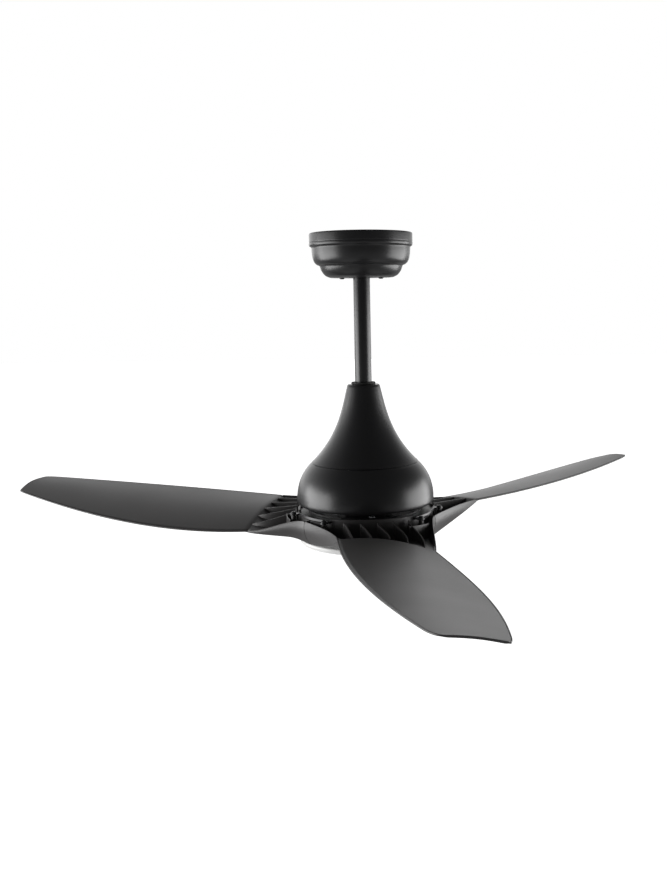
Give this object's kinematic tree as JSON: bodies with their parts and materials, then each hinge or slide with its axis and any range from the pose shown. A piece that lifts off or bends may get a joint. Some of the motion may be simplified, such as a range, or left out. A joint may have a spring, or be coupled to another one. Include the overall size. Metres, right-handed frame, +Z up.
{
  "type": "ceiling fan with light",
  "caption": "Ceiling fan with three swept plastic blades, a bell-shaped motor housing on a downrod, a stepped ceiling canopy and a round opal light under the hub.",
  "frame": {"origin": "centre of the hanger bracket's top face, on the ceiling plane and on the fan's vertical axis", "axes": "+Z up out of the bracket into the ceiling; the blades turn about Z; blade axes at 38.4, 158.4 and 278.4 degrees from +X at rest, and +Y points away from the viewer who sees the third blade nearest"},
  "size_m": [1.1612, 1.1203, 0.498],
  "materials": {
    "satin_black": "satin powder coat",
    "blade_charcoal": "fine matte moulded texture",
    "opal": "opal, satin",
    "zinc_steel": "zinc plated",
    "black_screw": "black oxide",
    "cast_aluminium": "as cast",
    "lamination": "stacked sheet edges",
    "copper": "enamelled copper wire",
    "magnet": "sintered",
    "bearing": "ground",
    "board": "white",
    "grey_plastic": "moulded",
    "rubber": "matt"
  },
  "bodies": {
    "ceiling_mount": {"hanger_bracket": "zinc_steel", "canopy": "satin_black", "receiver": "grey_plastic", "terminal_block": "board", "ceiling_screw_1": "zinc_steel", "ceiling_screw_2": "zinc_steel", "canopy_screw_1": "black_screw", "canopy_screw_2": "black_screw"},
    "hanging_unit": {"hanger_ball": "grey_plastic", "ball_pin": "zinc_steel", "downrod": "satin_black", "coupler": "cast_aluminium", "rod_bolt": "zinc_steel", "rod_bolt_nut": "zinc_steel", "set_screw_1": "zinc_steel", "set_screw_2": "zinc_steel", "top_collar": "rubber", "housing_upper": "satin_black", "housing_lower": "satin_black", "housing_plate": "zinc_steel", "plate_screw_1": "zinc_steel", "plate_screw_2": "zinc_steel", "plate_screw_3": "zinc_steel", "motor_shaft": "zinc_steel", "stator_core": "lamination", "winding_lower": "copper", "winding_upper": "copper", "light_plate": "cast_aluminium", "shaft_nut": "zinc_steel", "led_board": "board", "led_driver": "grey_plastic", "light_screw_1": "zinc_steel", "light_screw_2": "zinc_steel", "light_screw_3": "zinc_steel"},
    "rotor": {"rotor_casing_lower": "satin_black", "rotor_casing_upper": "satin_black", "magnet_ring": "magnet", "bearing_lower": "bearing", "bearing_upper": "bearing", "blade_flange": "satin_black", "casing_screw_1": "zinc_steel", "casing_screw_2": "zinc_steel", "casing_screw_3": "zinc_steel", "blade_1": "blade_charcoal", "blade_2": "blade_charcoal", "blade_3": "blade_charcoal", "blade_screw_1a": "black_screw", "blade_screw_1b": "black_screw", "blade_screw_2a": "black_screw", "blade_screw_2b": "black_screw", "blade_screw_3a": "black_screw", "blade_screw_3b": "black_screw"},
    "light_cover": {"diffuser": "opal"}
  },
  "joints": [
    {"name": "hanger_swing", "type": "hinge", "parent": "ceiling_mount", "child": "hanging_unit", "pos_m": [0, 0, -0.038], "axis": [1, 0, 0], "range_deg": [-8, 8]},
    {"name": "rotor_spin", "type": "hinge", "parent": "hanging_unit", "child": "rotor", "pos_m": [0, 0, -0.428], "axis": [0, 0, 1], "continuous": true},
    {"name": "diffuser_twist", "type": "hinge", "parent": "hanging_unit", "child": "light_cover", "pos_m": [0, 0, -0.482], "axis": [0, 0, 1], "range_deg": [0, 18]}
  ]
}
